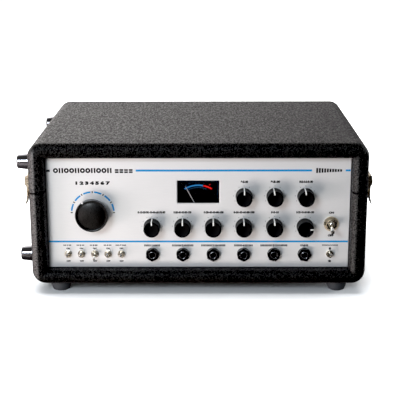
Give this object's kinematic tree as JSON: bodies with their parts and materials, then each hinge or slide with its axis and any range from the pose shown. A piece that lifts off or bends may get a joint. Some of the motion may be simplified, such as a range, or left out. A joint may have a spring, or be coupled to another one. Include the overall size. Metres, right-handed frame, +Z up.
{
  "type": "tape echo unit",
  "caption": "Tape echo unit in a black vinyl case with a recessed silver control panel, knobs, toggles, a level meter, jack sockets and a lift-up lid over a tape deck.",
  "frame": {"origin": "on the table, under the middle of the unit", "axes": "+X to the right seen from the front, +Y towards the rear (the control panel faces -Y), +Z up"},
  "size_m": [0.443, 0.3053, 0.19],
  "materials": {
    "case_vinyl": "black pebbled vinyl glued over plywood",
    "foot_rubber": "matt black",
    "side_foot_chrome": "polished",
    "hardware_nickel": "warm nickel plate",
    "handle_plastic": "moulded, light grain",
    "screw_steel": "nickel plated, worn",
    "rear_paint": "satin black paint",
    "inlet_plastic": "moulded, fine spark texture",
    "panel_silver": "satin silver with printed scales",
    "meter_black": "matt black with printed scale",
    "meter_clear": "clear acrylic",
    "needle_paint": "light grey paint",
    "knob_black": "fine ribs, white pointer line",
    "control_steel": "zinc plated",
    "socket_plastic": "moulded",
    "nut_gloss": "glossy black",
    "switch_metal": "plated bush and nut",
    "lever_chrome": "polished",
    "chassis_zinc": "zinc plated sheet",
    "transformer_iron": "varnished laminations",
    "board_green": "solder mask",
    "deck_paint": "satin dark grey",
    "motor_steel": "drawn can",
    "pulley_brass": "turned",
    "flywheel_steel": "turned, lacquered",
    "capstan_steel": "ground",
    "belt_rubber": "matt",
    "head_metal": "lapped front",
    "tank_plastic": "moulded",
    "cover_clear": "clear acrylic",
    "tape_brown": "brown oxide"
  },
  "bodies": {
    "case": {"case_lower": "case_vinyl", "bottom_feet": "foot_rubber", "side_feet_lower": "side_foot_chrome", "hinge_leaves_lower": "hardware_nickel", "hinge_pins": "hardware_nickel", "latch_catches": "hardware_nickel", "carry_handle": "handle_plastic", "case_screws": "screw_steel", "rear_panel": "rear_paint", "mains_inlet": "inlet_plastic", "front_panel": "panel_silver", "meter_housing": "meter_black", "meter_window": "meter_clear", "control_bodies": "control_steel", "jack_sockets": "socket_plastic", "jack_nuts": "nut_gloss", "mini_switches": "switch_metal", "power_switch": "switch_metal", "power_switch_nut": "lever_chrome", "chassis_tray": "chassis_zinc", "power_transformer": "transformer_iron", "main_board": "board_green", "reverb_tank": "chassis_zinc", "deck_plate": "deck_paint", "tape_motor": "motor_steel", "drive_belt": "belt_rubber", "tape_heads": "head_metal", "tape_tank": "tank_plastic", "tank_cover": "cover_clear", "tape_loop": "tape_brown"},
    "lid": {"case_lid": "case_vinyl", "hinge_leaves_upper": "hardware_nickel", "latch_hinge_plates": "hardware_nickel", "side_feet_upper": "side_foot_chrome", "lid_screws": "screw_steel"},
    "latch_right": {"latch_hasp_right": "hardware_nickel"},
    "latch_left": {"latch_hasp_left": "hardware_nickel"},
    "knob_bass": {"knob_bass": "knob_black"},
    "knob_treble": {"knob_treble": "knob_black"},
    "knob_feedback": {"knob_feedback": "knob_black"},
    "knob_input_volume": {"knob_input_volume": "knob_black"},
    "knob_chorus_rate": {"knob_chorus_rate": "knob_black"},
    "knob_chorus_depth": {"knob_chorus_depth": "knob_black"},
    "knob_reverb_volume": {"knob_reverb_volume": "knob_black"},
    "knob_tape_speed": {"knob_tape_speed": "knob_black"},
    "knob_echo_volume": {"knob_echo_volume": "knob_black"},
    "mode_knob": {"mode_knob": "knob_black"},
    "toggle_lever_1": {"toggle_lever_1": "lever_chrome"},
    "toggle_lever_2": {"toggle_lever_2": "lever_chrome"},
    "toggle_lever_3": {"toggle_lever_3": "lever_chrome"},
    "toggle_lever_4": {"toggle_lever_4": "lever_chrome"},
    "toggle_lever_5": {"toggle_lever_5": "lever_chrome"},
    "level_lever": {"level_lever": "lever_chrome"},
    "power_lever": {"power_lever": "lever_chrome"},
    "meter_needle": {"meter_needle": "needle_paint"},
    "capstan": {"flywheel": "flywheel_steel", "capstan_shaft": "capstan_steel"},
    "motor_pulley": {"motor_pulley": "pulley_brass"},
    "pinch_arm": {"pinch_arm": "chassis_zinc"},
    "pinch_roller": {"pinch_roller": "belt_rubber"}
  },
  "joints": [
    {"name": "lid_hinge", "type": "hinge", "parent": "case", "child": "lid", "pos_m": [0, 0.1502, 0.1295], "axis": [-1, 0, 0], "range_deg": [0, 90]},
    {"name": "latch_right_swing", "type": "hinge", "parent": "lid", "child": "latch_right", "pos_m": [0.2093, -0.118, 0.144], "axis": [0, -1, 0], "range_deg": [0, 140]},
    {"name": "latch_left_swing", "type": "hinge", "parent": "lid", "child": "latch_left", "pos_m": [-0.2093, -0.118, 0.144], "axis": [0, 1, 0], "range_deg": [0, 100]},
    {"name": "knob_bass_turn", "type": "hinge", "parent": "case", "child": "knob_bass", "pos_m": [0.0558, -0.131, 0.1215], "axis": [0, 1, 0], "range_deg": [-150, 150]},
    {"name": "knob_treble_turn", "type": "hinge", "parent": "case", "child": "knob_treble", "pos_m": [0.0934, -0.131, 0.1215], "axis": [0, 1, 0], "range_deg": [-140, 160]},
    {"name": "knob_feedback_turn", "type": "hinge", "parent": "case", "child": "knob_feedback", "pos_m": [0.131, -0.131, 0.1215], "axis": [0, 1, 0], "range_deg": [-142, 158]},
    {"name": "knob_input_volume_turn", "type": "hinge", "parent": "case", "child": "knob_input_volume", "pos_m": [-0.057, -0.131, 0.083], "axis": [0, 1, 0], "range_deg": [-150, 150]},
    {"name": "knob_chorus_rate_turn", "type": "hinge", "parent": "case", "child": "knob_chorus_rate", "pos_m": [-0.0194, -0.131, 0.083], "axis": [0, 1, 0], "range_deg": [-150, 150]},
    {"name": "knob_chorus_depth_turn", "type": "hinge", "parent": "case", "child": "knob_chorus_depth", "pos_m": [0.0182, -0.131, 0.083], "axis": [0, 1, 0], "range_deg": [-150, 150]},
    {"name": "knob_reverb_volume_turn", "type": "hinge", "parent": "case", "child": "knob_reverb_volume", "pos_m": [0.0558, -0.131, 0.083], "axis": [0, 1, 0], "range_deg": [-148, 152]},
    {"name": "knob_tape_speed_turn", "type": "hinge", "parent": "case", "child": "knob_tape_speed", "pos_m": [0.0934, -0.131, 0.083], "axis": [0, 1, 0], "range_deg": [-146, 154]},
    {"name": "knob_echo_volume_turn", "type": "hinge", "parent": "case", "child": "knob_echo_volume", "pos_m": [0.131, -0.131, 0.083], "axis": [0, 1, 0], "range_deg": [-238, 62]},
    {"name": "mode_knob_turn", "type": "hinge", "parent": "case", "child": "mode_knob", "pos_m": [-0.1295, -0.131, 0.1005], "axis": [0, 1, 0], "range_deg": [-56, 124]},
    {"name": "toggle_lever_1_flip", "type": "hinge", "parent": "case", "child": "toggle_lever_1", "pos_m": [-0.1616, -0.1322, 0.0472], "axis": [1, 0, 0], "range_deg": [0, 26]},
    {"name": "toggle_lever_2_flip", "type": "hinge", "parent": "case", "child": "toggle_lever_2", "pos_m": [-0.1451, -0.1322, 0.0472], "axis": [1, 0, 0], "range_deg": [0, 26]},
    {"name": "toggle_lever_3_flip", "type": "hinge", "parent": "case", "child": "toggle_lever_3", "pos_m": [-0.1286, -0.1322, 0.0472], "axis": [1, 0, 0], "range_deg": [-26, 0]},
    {"name": "toggle_lever_4_flip", "type": "hinge", "parent": "case", "child": "toggle_lever_4", "pos_m": [-0.1121, -0.1322, 0.0472], "axis": [1, 0, 0], "range_deg": [0, 26]},
    {"name": "toggle_lever_5_flip", "type": "hinge", "parent": "case", "child": "toggle_lever_5", "pos_m": [-0.0956, -0.1322, 0.0472], "axis": [1, 0, 0], "range_deg": [0, 26]},
    {"name": "level_lever_flip", "type": "hinge", "parent": "case", "child": "level_lever", "pos_m": [0.1627, -0.1322, 0.0472], "axis": [1, 0, 0], "range_deg": [0, 26]},
    {"name": "power_lever_flip", "type": "hinge", "parent": "case", "child": "power_lever", "pos_m": [0.1633, -0.1325, 0.0861], "axis": [1, 0, 0], "range_deg": [-34, 0]},
    {"name": "meter_needle_swing", "type": "hinge", "parent": "case", "child": "meter_needle", "pos_m": [0, -0.126, 0.1024], "axis": [0, 1, 0], "range_deg": [0, 56]},
    {"name": "capstan_spin", "type": "hinge", "parent": "case", "child": "capstan", "pos_m": [0.09, -0.067, 0.104], "axis": [0, 0, 1], "continuous": true},
    {"name": "motor_spin", "type": "hinge", "parent": "case", "child": "motor_pulley", "pos_m": [0.01, -0.05, 0.104], "axis": [0, 0, 1], "continuous": true},
    {"name": "pinch_arm_swing", "type": "hinge", "parent": "case", "child": "pinch_arm", "pos_m": [0.06, -0.086, 0.124], "axis": [0, 0, 1], "range_deg": [0, 10]},
    {"name": "pinch_roller_spin", "type": "hinge", "parent": "pinch_arm", "child": "pinch_roller", "pos_m": [0.09, -0.086, 0.128], "axis": [0, 0, 1], "continuous": true}
  ],
  "couplings": [
    {"joint": "motor_spin", "follows": "capstan_spin", "ratio": 4.375}
  ]
}
